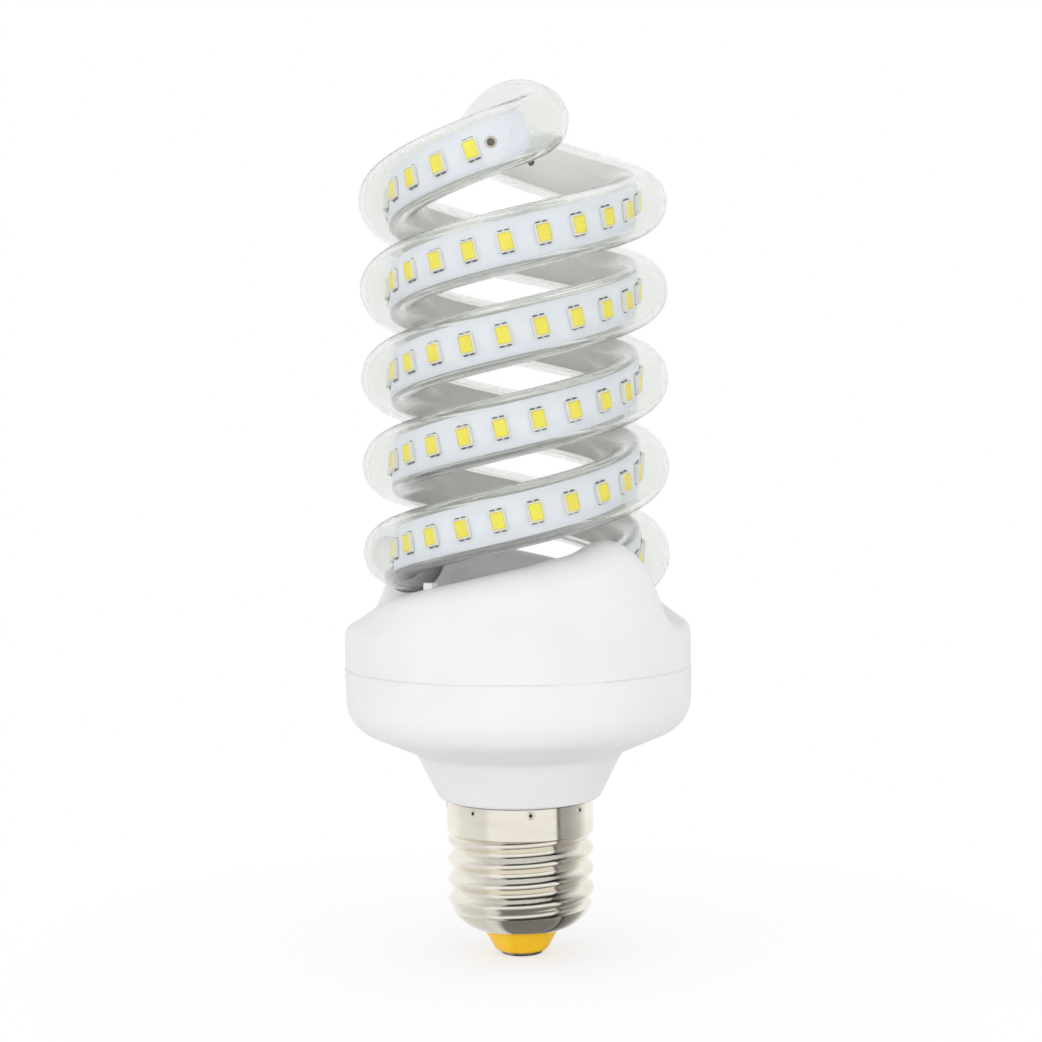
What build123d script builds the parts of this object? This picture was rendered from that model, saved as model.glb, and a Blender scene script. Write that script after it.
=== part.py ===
from build123d import *
import math
import os

# Spiral LED lamp with a screw cap. Millimetres, +Z up, origin at the tip of the centre contact.
# The front faces -Y. Strand a passes the front on its first turn; strand b is strand a turned half round.

# Screw cap, going up from the contact
contact_radius = 3.8
contact_thickness = 0.6
rivet_radius = 1.3
insulator_taper = 2.25
insulator_foot_round = 1.2
insulator_flange_reach = 1.55
insulator_flange_thickness = 2.0
shell_mouth_height = 4.6
shell_mouth_radius = 7.05
shell_dome_height = 6.4
dome_middle_radius = 11.15
dome_middle_height = 6.73
shell_wall = 0.5
thread_pitch = 3.629
thread_step = 0.55
thread_amplitude = 0.5
thread_wall = 0.55
collar_radius = 13.2
collar_wall = 0.35
cap_rim_height = 28.4
collar_height = 5.8
cap_clearance = 0.1

# Lower housing
housing_wall = 1.6
wall_height = 10.2
seam_radius = 31.0
seam_chamfer = 0.25
bowl_draft = 0.3
bowl_rise = 5.3
bowl_round = 6.6
shelf_reach = 4.2
neck_length = 8.4
shelf_round = 2.5
neck_step = 1.2
spigot_depth = 5.4
ledge_drop = 7.3
ledge_width = 2.4
ledge_thickness = 3.0
neck_round = 1.1

# Upper cover
cover_wall = 1.2
shoulder_draft = 0.2
cover_height = 7.0
deck_thickness = 1.6
shoulder_round = 2.4
ramp_sink = 0.3
ramp_start = -105.0
ramp_climb_angle = 152.0
ramp_fall_angle = 28.0
ramp_steps = 8
ramp_fall_steps = 4
ramp_overlap = 0.1
crest_tab_angle = -43.0
crest_tab_width = 2.1
crest_tab_thickness = 1.4
crest_tab_rise = 1.0
crest_tab_root = 0.8
lip_depth = 4.0
lip_thickness = 1.8
lip_clearance = 0.2

# Glass tube
tube_radius = 5.4
tube_wall = 1.0
spiral_inset = 9.1
spiral_lead = 31.1
tube_end_rise = 4.4
tube_end_angle = -190.0
riser_start_angle = 645.0
riser_steps = 6
hook_leave_angle = 705.0
hook_radius = 8.0
hook_slope = 0.35
socket_clearance = 0.3
socket_run_out = 12.0

# LED strips
strip_width = 7.6
strip_thickness = 0.5
strip_inset = 0.3
strip_foot_angle = -178.0
strip_hook_angle = 66.0
strip_corner_round = 2.6
strip_hole_radius = 0.7
strip_hole_setback = 7.2
led_length = 2.8
led_width = 3.5
led_height = 0.8
led_frame = 0.3
led_pocket_depth = 0.25
led_fit = 0.04
led_seat = 0.05
leds_per_turn = 21.8
led_count = 50
led_top_angle = 702.0

# Tube plugs and strip leads
plug_length = 3.0
plug_clearance = 0.1
lead_radius = 0.55
lead_spacing = 2.4
lead_bend = 2.0
lead_reach = 5.0
lead_inner_reach = 3.8
lead_hole_clearance = 0.1

# Driver
board_thickness = 1.6
board_clearance = 0.4
bulk_radius = 5.0
bulk_length = 17.0
bulk_round = 0.6
film_length = 10.5
film_width = 5.0
film_height = 8.0
film_round = 0.8
film_x = -12.0
inductor_radius = 6.0
inductor_core_radius = 3.0
inductor_flange = 1.2
inductor_height = 8.4
inductor_x = 12.0
winding_radius = 5.4
winding_clearance = 0.1
chip_length = 5.0
chip_width = 4.0
chip_height = 1.5
chip_chamfer = 0.25
bridge_length = 5.0
bridge_width = 4.6
bridge_height = 2.2
surface_part_x = 6.0
surface_part_y = 14.0
fuse_radius = 1.7
fuse_length = 8.0
fuse_round = 0.6
fuse_x = 8.2
fuse_rise = 3.6
live_bend = 3.0
live_rise = 6.0
live_drop = 9.0
neutral_x = -10.4
neutral_weld_drop = 3.1

# Values worked out from the sizes above
half_turn = 180.0
full_turn = 360.0
front_angle = -90.0
thread_mean_radius = collar_radius - thread_step
thread_bore_radius = thread_mean_radius - thread_amplitude - thread_wall
thread_top_height = cap_rim_height - collar_height
neck_radius = collar_radius + neck_step
shelf_radius = neck_radius + shelf_reach
shelf_height = cap_rim_height + neck_length
bowl_radius = seam_radius - bowl_draft
bowl_height = shelf_height + bowl_rise
seam_height = bowl_height + wall_height
ledge_height = seam_height - ledge_drop
shoulder_radius = seam_radius - shoulder_draft
shoulder_height = seam_height + cover_height
spiral_radius = seam_radius - spiral_inset
first_front_height = shoulder_height + tube_end_rise - spiral_lead * tube_end_angle / full_turn
ramp_climb = spiral_lead * ramp_climb_angle / full_turn
ramp_low_height = first_front_height + spiral_lead * (ramp_start - half_turn) / full_turn - ramp_sink
fuse_base_height = cap_rim_height + fuse_rise
neutral_weld_height = thread_top_height - neutral_weld_drop
insulator_rim_radius = shell_mouth_radius - 2 * cap_clearance
insulator_foot_radius = insulator_rim_radius - insulator_taper
insulator_flange_radius = insulator_rim_radius + insulator_flange_reach
insulator_base_height = contact_thickness
insulator_lip_height = shell_mouth_height + 2 * shell_wall + cap_clearance
insulator_top_height = insulator_lip_height + insulator_flange_thickness
spigot_radius = collar_radius - collar_wall - cap_clearance
spigot_bore_radius = spigot_radius - housing_wall
housing_bore_radius = seam_radius - housing_wall
board_radius = housing_bore_radius - board_clearance
board_top_height = ledge_height + board_thickness
crown_radius = tube_radius + socket_clearance + cover_wall
spiral_slope = spiral_lead / (2 * math.pi * spiral_radius)
riser_angle = hook_leave_angle - riser_start_angle
riser_gain = (hook_slope - spiral_slope) * spiral_radius * math.radians(riser_angle) / 2
hook_centre_radius = spiral_radius - hook_radius
hook_turn_angle = 90.0 + math.degrees(math.asin(hook_radius / hook_centre_radius))
ramp_end = ramp_start + ramp_climb_angle + ramp_fall_angle


def strand_height(angle):
    """Height of the tube's centre line after turning by angle from the first front pass."""
    steeper = max(0.0, angle - riser_start_angle) / riser_angle
    return first_front_height + spiral_lead * angle / full_turn + riser_gain * steeper**2


def radial_plane(angle):
    """Upright plane through the lamp's axis; its x runs outward and its y runs up."""
    turn = math.radians(angle)
    outward = Vector(math.cos(turn), math.sin(turn), 0)
    return Plane(origin=(0, 0, 0), x_dir=outward, z_dir=outward.cross(Vector(0, 0, 1)))


def strand_helix(start_angle, end_angle, radius=spiral_radius):
    """Part of strand a's helix between two turning angles."""
    start_height = strand_height(start_angle)
    with BuildLine(Plane.XY.offset(start_height)) as line:
        Helix(
            pitch=spiral_lead,
            height=strand_height(end_angle) - start_height,
            radius=radius,
        )
    return line.line.rotate(Axis.Z, start_angle + front_angle).edges()[0]


def riser_spline(inset=0.0):
    """Last part of strand a's helix, which climbs ever steeper up to the hook."""
    radius = spiral_radius - inset
    points = []
    for step in range(riser_steps + 1):
        angle = riser_start_angle + riser_angle * step / riser_steps
        turn = math.radians(angle + front_angle)
        points.append((radius * math.cos(turn), radius * math.sin(turn), strand_height(angle)))
    ends = []
    for angle, slope in ((riser_start_angle, spiral_slope), (hook_leave_angle, hook_slope)):
        turn = math.radians(angle + front_angle)
        ends.append((-math.sin(turn), math.cos(turn), slope * spiral_radius / radius))
    with BuildLine() as line:
        Spline(*points, tangents=ends)
    return line.edges()[0]


def hook_helix(turn_angle, inset=0.0):
    """Tight bend at the top of strand a, which leaves the riser tangent to it."""
    rise = hook_radius * math.radians(turn_angle) * hook_slope
    with BuildLine(Plane.XY.offset(strand_height(hook_leave_angle))) as line:
        Helix(
            pitch=2 * math.pi * hook_radius * hook_slope,
            height=rise,
            radius=hook_radius - inset,
        )
    placed = Pos(hook_centre_radius, 0, 0) * line.line
    return placed.rotate(Axis.Z, hook_leave_angle + front_angle).edges()[0]


def strand_plane(edge, place):
    """Plane across a path, with its x lying level and pointing away from the bend."""
    tangent = edge % place
    outward = tangent.cross(Vector(0, 0, 1)).normalized()
    return Plane(origin=edge @ place, x_dir=outward, z_dir=tangent)


def face_plane(across):
    """Plane that lies on the strip's middle, facing outward, from the plane across it."""
    return Plane(origin=across.origin, x_dir=across.z_dir, z_dir=across.x_dir)


# Centre line of the glass: main helix, riser, hook, and the arc that crosses over the axis
main_path = strand_helix(tube_end_angle, riser_start_angle)
riser_path = riser_spline()
hook_path = hook_helix(hook_turn_angle)
hook_tip = hook_path @ 1
with BuildLine() as crossing_line:
    TangentArc(hook_tip, (-hook_tip.X, -hook_tip.Y, hook_tip.Z), tangent=hook_path % 1)
crossing_path = crossing_line.edges()[0]

# Glass spiral: one bent tube, two strands joined over the axis
with BuildPart() as glass_strand:
    for path in (main_path, riser_path, hook_path):
        with BuildSketch(strand_plane(path, 0)):
            Circle(tube_radius)
            Circle(tube_radius - tube_wall, mode=Mode.SUBTRACT)
        sweep(path=path, is_frenet=True)
with BuildPart() as glass_spiral:
    with BuildSketch(strand_plane(crossing_path, 0)):
        Circle(tube_radius)
        Circle(tube_radius - tube_wall, mode=Mode.SUBTRACT)
    sweep(path=crossing_path)
    add(glass_strand.part)
    add(glass_strand.part.rotate(Axis.Z, half_turn))

# LED strip of strand a: a ribbon that stands in the middle of the tube
strip_helix = strand_helix(strip_foot_angle, riser_start_angle, spiral_radius - strip_inset)
strip_riser = riser_spline(strip_inset)
strip_hook = hook_helix(strip_hook_angle, strip_inset)
hole_place = 1 - strip_hole_setback / strip_hook.length
hole_drill = face_plane(strand_plane(strip_hook, hole_place))
corner_drill = face_plane(strand_plane(strip_hook, 1))
with BuildPart() as led_strip_a:
    for path in (strip_helix, strip_riser, strip_hook):
        with BuildSketch(strand_plane(path, 0)):
            Rectangle(strip_thickness, strip_width)
        sweep(path=path, is_frenet=True)
    with BuildSketch(hole_drill):
        Circle(strip_hole_radius)
    extrude(amount=2 * strip_thickness, both=True, mode=Mode.SUBTRACT)
    with BuildSketch(corner_drill):
        with Locations((-strip_corner_round / 2, 0)):
            Rectangle(strip_corner_round, 2 * strip_width)
        with BuildSketch(mode=Mode.PRIVATE) as rounded_end:
            with Locations((-strip_width / 2, 0)):
                RectangleRounded(strip_width, strip_width, strip_corner_round)
        add(rounded_end.sketch, mode=Mode.SUBTRACT)
    extrude(amount=2 * strip_corner_round, both=True, mode=Mode.SUBTRACT)

# LED places: flat on the outer face of the strip, evenly along it
led_step_angle = full_turn / leds_per_turn
led_planes = []
for number in range(led_count):
    led_angle = led_top_angle - number * led_step_angle
    if led_angle > riser_start_angle:
        led_across = strand_plane(strip_riser, (led_angle - riser_start_angle) / riser_angle)
    else:
        led_place = (led_angle - strip_foot_angle) / (riser_start_angle - strip_foot_angle)
        led_across = strand_plane(strip_helix, led_place)
    strip_face = face_plane(led_across)
    led_planes.append(strip_face.offset(strip_thickness / 2 + led_seat))
pocket_length = led_length - 2 * led_frame
pocket_width = led_width - 2 * led_frame
pocket_floor = led_height - led_pocket_depth
upward = (Align.CENTER, Align.CENTER, Align.MIN)

with BuildPart() as led_packages_a:
    with Locations(*led_planes):
        Box(led_length, led_width, led_height, align=upward)
    with Locations(*[plane.offset(pocket_floor) for plane in led_planes]):
        Box(pocket_length, pocket_width, led_height, align=upward, mode=Mode.SUBTRACT)

with BuildPart() as led_phosphors_a:
    with Locations(*[plane.offset(pocket_floor) for plane in led_planes]):
        Box(
            pocket_length - 2 * led_fit,
            pocket_width - 2 * led_fit,
            led_pocket_depth - led_fit,
            align=upward,
        )

# Leads of strand a: straight through the plug, then bent down to the board
tube_mouth = strand_plane(main_path, 0)
lead_paths = []
for side in (-1, 1):
    start = tube_mouth.origin + tube_mouth.y_dir * (side * lead_spacing / 2)
    inner = start + tube_mouth.z_dir * lead_inner_reach
    upper_side = math.copysign(side, side * tube_mouth.y_dir.Z)
    outer = start - tube_mouth.z_dir * (lead_reach + upper_side * lead_spacing / 2)
    with BuildLine() as lead_line:
        FilletPolyline(inner, outer, (outer.X, outer.Y, board_top_height), radius=lead_bend)
    lead_paths.append(lead_line.wire())

with BuildPart() as strip_leads_a:
    for path in lead_paths:
        with BuildSketch(Plane(origin=path @ 0, z_dir=path % 0)):
            Circle(lead_radius)
        sweep(path=path)

# Plug that closes the lower end of strand a
plug_angle = math.degrees(plug_length / spiral_radius)
plug_path = strand_helix(tube_end_angle, tube_end_angle + plug_angle)
with BuildPart() as tube_plug_a:
    with BuildSketch(strand_plane(plug_path, 0)):
        Circle(tube_radius - tube_wall - plug_clearance)
    sweep(path=plug_path, is_frenet=True)
    for path in lead_paths:
        with BuildSketch(Plane(origin=path @ 0, z_dir=path % 0)):
            Circle(lead_radius + lead_hole_clearance)
        extrude(amount=lead_inner_reach + lead_reach, mode=Mode.SUBTRACT)


def ramp_centre_height(angle):
    """Height of the ramp crown's centre: a steady climb, then a smooth fall to the next ramp."""
    climbed = angle - ramp_start
    if climbed <= ramp_climb_angle:
        return ramp_low_height + ramp_climb * climbed / ramp_climb_angle
    fallen = (climbed - ramp_climb_angle) / ramp_fall_angle
    return ramp_low_height + ramp_climb * (1 + math.cos(math.pi * fallen)) / 2


def ramp_section(angle, inset, base_height):
    """Upright section of a cover ramp: rounded shoulder, flank, round crown, inner wall."""
    centre = Vector(spiral_radius, ramp_centre_height(angle))
    crown = crown_radius - inset
    shoulder = Vector(shoulder_radius - inset, shoulder_height - inset)
    away = shoulder - centre
    tangent_angle = math.atan2(away.Y, away.X) + math.acos(crown / away.length)
    flank_top = centre + Vector(math.cos(tangent_angle), math.sin(tangent_angle)) * crown
    flank_fall = (shoulder.Y - flank_top.Y) / (shoulder.X - flank_top.X)
    outset = 0 if inset else ramp_overlap
    corner = shoulder + Vector(outset, flank_fall * outset)
    flank_way = (flank_top - corner).normalized()
    half_corner = (math.pi / 2 + math.asin(flank_way.Y)) / 2
    corner_round = shoulder_round - inset
    round_foot = corner - Vector(0, corner_round / math.tan(half_corner))
    round_top = corner + flank_way * (corner_round / math.tan(half_corner))
    inward = (flank_way - Vector(0, 1)).normalized()
    round_middle = corner + inward * (corner_round / math.sin(half_corner) - corner_round)
    inner_radius = centre.X - crown
    with BuildSketch(radial_plane(angle + front_angle)) as section:
        with BuildLine():
            Polyline(
                (inner_radius, base_height),
                (corner.X, base_height),
                round_foot,
            )
            ThreePointArc(round_foot, round_middle, round_top)
            Line(round_top, flank_top)
            ThreePointArc(flank_top, centre + Vector(0, crown), centre - Vector(crown, 0))
            Line(centre - Vector(crown, 0), (inner_radius, base_height))
        make_face()
    return section.sketch


# Ramp angles: even steps up the climb, closer ones over the fall
climb_angles = [ramp_start + ramp_climb_angle * step / ramp_steps for step in range(ramp_steps + 1)]
fall_angles = [ramp_end - ramp_fall_angle * step / ramp_fall_steps for step in range(ramp_fall_steps)]
fall_angles.reverse()

# Upper cover: outer form of both ramps, kept inside the drafted round wall
with BuildPart() as cover_ramps:
    loft([ramp_section(angle, 0, seam_height) for angle in climb_angles + fall_angles])
    add(cover_ramps.part.rotate(Axis.Z, half_turn))
    with BuildSketch(Plane.XZ) as envelope:
        wall_taper = (seam_radius - shoulder_radius) / (shoulder_height - seam_height)
        envelope_top = shoulder_height + ramp_climb + 2 * crown_radius
        with BuildLine():
            Polyline(
                (0, seam_height),
                (seam_radius - seam_chamfer, seam_height),
                (seam_radius, seam_height + seam_chamfer),
                (seam_radius - wall_taper * (envelope_top - seam_height), envelope_top),
                (0, envelope_top),
                close=True,
            )
        make_face()
    revolve(axis=Axis.Z, mode=Mode.INTERSECT)

# Small tab on the crest of a ramp
crest_height = ramp_centre_height(crest_tab_angle) + crown_radius
with BuildPart() as crest_tab:
    with BuildSketch(radial_plane(crest_tab_angle + front_angle)):
        with Locations((spiral_radius, crest_height + (crest_tab_rise - crest_tab_root) / 2)):
            Rectangle(crest_tab_thickness, crest_tab_rise + crest_tab_root)
    extrude(amount=crest_tab_width / 2, both=True)

# Inner room of one ramp and its socket for the tube
with BuildPart() as ramp_room:
    loft([ramp_section(angle, cover_wall, seam_height) for angle in climb_angles])
socket_path = strand_helix(tube_end_angle - socket_run_out, ramp_end - half_turn + socket_run_out)
with BuildPart() as socket_bore:
    with BuildSketch(strand_plane(socket_path, 0)):
        Circle(tube_radius + socket_clearance)
    sweep(path=socket_path, is_frenet=True)

deck_height = shoulder_height - deck_thickness
with BuildPart() as upper_cover:
    add(cover_ramps.part)
    with BuildSketch(Plane.XY.offset(seam_height)):
        Circle(spiral_radius - crown_radius + cover_wall)
    extrude(amount=shoulder_height - seam_height)
    with BuildSketch(Plane.XY.offset(seam_height)):
        Circle(housing_bore_radius)
    extrude(amount=deck_height - seam_height, mode=Mode.SUBTRACT)
    for turn in (0, half_turn):
        add(ramp_room.part.rotate(Axis.Z, turn), mode=Mode.SUBTRACT)
        add(socket_bore.part.rotate(Axis.Z, turn), mode=Mode.SUBTRACT)
        add(crest_tab.part.rotate(Axis.Z, turn))
    with BuildSketch(Plane.XY.offset(seam_height - lip_depth)):
        Circle(housing_bore_radius - lip_clearance)
        Circle(housing_bore_radius - lip_clearance - lip_thickness, mode=Mode.SUBTRACT)
    extrude(amount=lip_depth + deck_height - seam_height)

# Lower housing: drafted wall, bowl, shelf and neck, hollowed out
with BuildPart() as lower_housing:
    with BuildSketch(Plane.XZ):
        with BuildLine():
            Polyline(
                (0, cap_rim_height),
                (neck_radius, cap_rim_height),
                (shelf_radius, shelf_height),
                (bowl_radius, bowl_height),
                (seam_radius, seam_height),
                (0, seam_height),
                close=True,
            )
        make_face()
    revolve(axis=Axis.Z)
    fillet(lower_housing.edges().filter_by(GeomType.CIRCLE).group_by(Axis.Z)[2], bowl_round)
    fillet(lower_housing.edges().filter_by(GeomType.CIRCLE).group_by(Axis.Z)[1], shelf_round)
    ends = lower_housing.faces().filter_by(GeomType.PLANE)
    offset(amount=-housing_wall, openings=ends)
    seam_edges = lower_housing.edges().filter_by(GeomType.CIRCLE).group_by(Axis.Z)[-1]
    chamfer(seam_edges.sort_by(SortBy.RADIUS)[-1], seam_chamfer)
    with BuildSketch(Plane.XY.offset(cap_rim_height - spigot_depth)):
        Circle(spigot_radius)
        Circle(spigot_bore_radius, mode=Mode.SUBTRACT)
    extrude(amount=spigot_depth + housing_wall)
    with BuildSketch(Plane.XY.offset(cap_rim_height)):
        Circle(neck_radius - housing_wall / 2)
        Circle(spigot_bore_radius, mode=Mode.SUBTRACT)
    extrude(amount=housing_wall)
    with BuildSketch(Plane.XY.offset(ledge_height - ledge_thickness)):
        Circle(housing_bore_radius - ledge_width + housing_wall)
        Circle(housing_bore_radius - ledge_width, mode=Mode.SUBTRACT)
    extrude(amount=ledge_thickness)
    rim_edges = lower_housing.edges().filter_by_position(Axis.Z, cap_rim_height, cap_rim_height)
    fillet(rim_edges.sort_by(SortBy.RADIUS)[-1], neck_round)

# Screw shell: rolled thread between a domed foot and a smooth collar
thread_length = thread_top_height - shell_mouth_height + thread_pitch / 2
with BuildLine(Plane.XY.offset(shell_mouth_height)) as thread_line:
    Helix(pitch=thread_pitch, height=thread_length, radius=thread_amplitude)
thread_path = thread_line.edges()[0]
dome_top_height = shell_mouth_height + shell_dome_height
with BuildPart() as screw_shell:
    with BuildSketch(Plane.XY.offset(shell_mouth_height)):
        with Locations((thread_amplitude, 0)):
            Circle(thread_mean_radius)
    sweep(path=thread_path, normal=(0, 0, 1))
    with BuildSketch(Plane.XY.offset(thread_top_height)):
        Circle(collar_radius)
    extrude(amount=cap_rim_height - thread_top_height)
    with BuildSketch(Plane.XZ):
        with BuildLine():
            Line((0, shell_mouth_height), (shell_mouth_radius, shell_mouth_height))
            ThreePointArc(
                (shell_mouth_radius, shell_mouth_height),
                (dome_middle_radius, dome_middle_height),
                (collar_radius, dome_top_height),
            )
            Polyline(
                (collar_radius, dome_top_height),
                (collar_radius, cap_rim_height),
                (0, cap_rim_height),
                (0, shell_mouth_height),
            )
        make_face()
    revolve(axis=Axis.Z, mode=Mode.INTERSECT)
    with BuildSketch(Plane.XZ):
        with BuildLine():
            Polyline(
                (0, shell_mouth_height),
                (shell_mouth_radius - cap_clearance, shell_mouth_height),
                (shell_mouth_radius - cap_clearance, insulator_lip_height - cap_clearance),
                (insulator_flange_radius + cap_clearance, insulator_lip_height - cap_clearance),
                (thread_bore_radius, dome_top_height),
                (thread_bore_radius, cap_rim_height - spigot_depth - cap_clearance),
                (collar_radius - collar_wall, cap_rim_height - spigot_depth - cap_clearance),
                (collar_radius - collar_wall, cap_rim_height),
                (0, cap_rim_height),
                close=True,
            )
        make_face()
    revolve(axis=Axis.Z, mode=Mode.SUBTRACT)

# Insulator: flanged inside the shell, tapering to the contact
with BuildPart() as insulator:
    with BuildSketch(Plane.XZ):
        with BuildLine():
            Polyline(
                (rivet_radius + cap_clearance, insulator_base_height),
                (insulator_foot_radius, insulator_base_height),
                (insulator_rim_radius, shell_mouth_height),
                (insulator_rim_radius, insulator_lip_height),
                (insulator_flange_radius, insulator_lip_height),
                (insulator_flange_radius, insulator_top_height),
                (rivet_radius + cap_clearance, insulator_top_height),
                close=True,
            )
        make_face()
    revolve(axis=Axis.Z)
    foot_edge = insulator.edges().filter_by(GeomType.CIRCLE).group_by(Axis.Z)[0].sort_by(SortBy.RADIUS)[-1]
    fillet(foot_edge, insulator_foot_round)

# Centre contact: button with a rivet up through the insulator
with BuildPart() as centre_contact:
    with BuildSketch():
        Circle(contact_radius)
    extrude(amount=contact_thickness)
    fillet(centre_contact.edges().group_by(Axis.Z)[0], contact_thickness / 2)
    with BuildSketch(Plane.XY.offset(contact_thickness)):
        Circle(rivet_radius)
    extrude(amount=insulator_top_height - contact_thickness)

# Driver board on its ledge
with BuildPart() as driver_board:
    with BuildSketch(Plane.XY.offset(ledge_height)):
        Circle(board_radius)
    extrude(amount=board_thickness)

# Bulk capacitor under the board, in the neck
with BuildPart() as bulk_capacitor:
    with BuildSketch(Plane.XY.offset(ledge_height - bulk_length)):
        Circle(bulk_radius)
    extrude(amount=bulk_length)
    fillet(bulk_capacitor.edges().group_by(Axis.Z)[0], bulk_round)

# Film capacitor on the board
with BuildPart() as film_capacitor:
    with BuildSketch(Plane.XY.offset(board_top_height)):
        with Locations((film_x, 0)):
            Rectangle(film_width, film_length)
    extrude(amount=film_height)
    fillet(film_capacitor.edges().filter_by(Axis.Z), film_round)
    fillet(film_capacitor.edges().group_by(Axis.Z)[-1], film_round)

# Inductor: drum core and its winding
inductor_foot = (inductor_x, 0, board_top_height)
inductor_plane = Plane(origin=inductor_foot, x_dir=(1, 0, 0), z_dir=(0, -1, 0))
with BuildPart() as inductor_core:
    with BuildSketch(inductor_plane):
        with BuildLine():
            Polyline(
                (0, 0),
                (inductor_radius, 0),
                (inductor_radius, inductor_flange),
                (inductor_core_radius, inductor_flange),
                (inductor_core_radius, inductor_height - inductor_flange),
                (inductor_radius, inductor_height - inductor_flange),
                (inductor_radius, inductor_height),
                (0, inductor_height),
                close=True,
            )
        make_face()
    revolve(axis=Axis(inductor_foot, (0, 0, 1)))

with BuildPart() as inductor_winding:
    with BuildSketch(Plane.XY.offset(board_top_height + inductor_flange + winding_clearance)):
        with Locations((inductor_x, 0)):
            Circle(winding_radius)
            Circle(inductor_core_radius + winding_clearance, mode=Mode.SUBTRACT)
    extrude(amount=inductor_height - 2 * inductor_flange - 2 * winding_clearance)

# Surface parts on the board
with BuildPart() as driver_chip:
    with BuildSketch(Plane.XY.offset(board_top_height)):
        with Locations((surface_part_x, surface_part_y)):
            Rectangle(chip_length, chip_width)
    extrude(amount=chip_height)
    chamfer(driver_chip.edges().group_by(Axis.Z)[-1], chip_chamfer)

with BuildPart() as bridge_rectifier:
    with BuildSketch(Plane.XY.offset(board_top_height)):
        with Locations((-surface_part_x, -surface_part_y)):
            Rectangle(bridge_length, bridge_width)
    extrude(amount=bridge_height)
    chamfer(bridge_rectifier.edges().group_by(Axis.Z)[-1], chip_chamfer)

# Fuse resistor beside the bulk capacitor
with BuildPart() as fuse_resistor:
    with BuildSketch(Plane.XY.offset(fuse_base_height)):
        with Locations((fuse_x, 0)):
            Circle(fuse_radius)
    extrude(amount=fuse_length)
    fillet(fuse_resistor.edges().filter_by(GeomType.CIRCLE), fuse_round)

# Live lead: contact rivet to fuse, and fuse to board
with BuildPart() as live_lead:
    with BuildLine() as live_line:
        FilletPolyline(
            (0, 0, insulator_top_height),
            (0, 0, insulator_top_height + live_rise),
            (fuse_x, 0, fuse_base_height - live_drop),
            (fuse_x, 0, fuse_base_height),
            radius=live_bend,
        )
    with BuildSketch(Plane.XY.offset(insulator_top_height)):
        Circle(lead_radius)
    sweep(path=live_line.wire())
    with BuildSketch(Plane.XY.offset(fuse_base_height + fuse_length)):
        with Locations((fuse_x, 0)):
            Circle(lead_radius)
    extrude(amount=ledge_height - fuse_base_height - fuse_length)

# Neutral lead: welded inside the screw shell, up the neck to the board
with BuildPart() as neutral_lead:
    weld_x = -(thread_bore_radius - cap_clearance)
    with BuildLine() as neutral_line:
        FilletPolyline(
            (weld_x, 0, neutral_weld_height),
            (neutral_x, 0, neutral_weld_height),
            (neutral_x, 0, ledge_height),
            radius=lead_radius,
        )
    with BuildSketch(Plane(origin=(weld_x, 0, neutral_weld_height), z_dir=(1, 0, 0))):
        Circle(lead_radius / 2)
    sweep(path=neutral_line.wire())

# Strand b repeats the pieces of strand a, turned half round
led_strip_b = led_strip_a.part.rotate(Axis.Z, half_turn)
led_packages_b = led_packages_a.part.rotate(Axis.Z, half_turn)
led_phosphors_b = led_phosphors_a.part.rotate(Axis.Z, half_turn)
strip_leads_b = strip_leads_a.part.rotate(Axis.Z, half_turn)
tube_plug_b = tube_plug_a.part.rotate(Axis.Z, half_turn)

pieces = {
    "glass_spiral": glass_spiral.part,
    "led_strip_a": led_strip_a.part,
    "led_strip_b": led_strip_b,
    "led_packages_a": led_packages_a.part,
    "led_packages_b": led_packages_b,
    "led_phosphors_a": led_phosphors_a.part,
    "led_phosphors_b": led_phosphors_b,
    "strip_leads_a": strip_leads_a.part,
    "strip_leads_b": strip_leads_b,
    "tube_plug_a": tube_plug_a.part,
    "tube_plug_b": tube_plug_b,
    "upper_cover": upper_cover.part,
    "lower_housing": lower_housing.part,
    "screw_shell": screw_shell.part,
    "insulator": insulator.part,
    "centre_contact": centre_contact.part,
    "driver_board": driver_board.part,
    "bulk_capacitor": bulk_capacitor.part,
    "film_capacitor": film_capacitor.part,
    "inductor_core": inductor_core.part,
    "inductor_winding": inductor_winding.part,
    "driver_chip": driver_chip.part,
    "bridge_rectifier": bridge_rectifier.part,
    "fuse_resistor": fuse_resistor.part,
    "live_lead": live_lead.part,
    "neutral_lead": neutral_lead.part,
}
os.makedirs("parts", exist_ok=True)
for label, piece in pieces.items():
    piece.label = label
    export_step(piece, f"parts/{label}.step")
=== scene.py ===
import math

import bmesh
import bpy
from mathutils import Matrix, Vector


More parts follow.
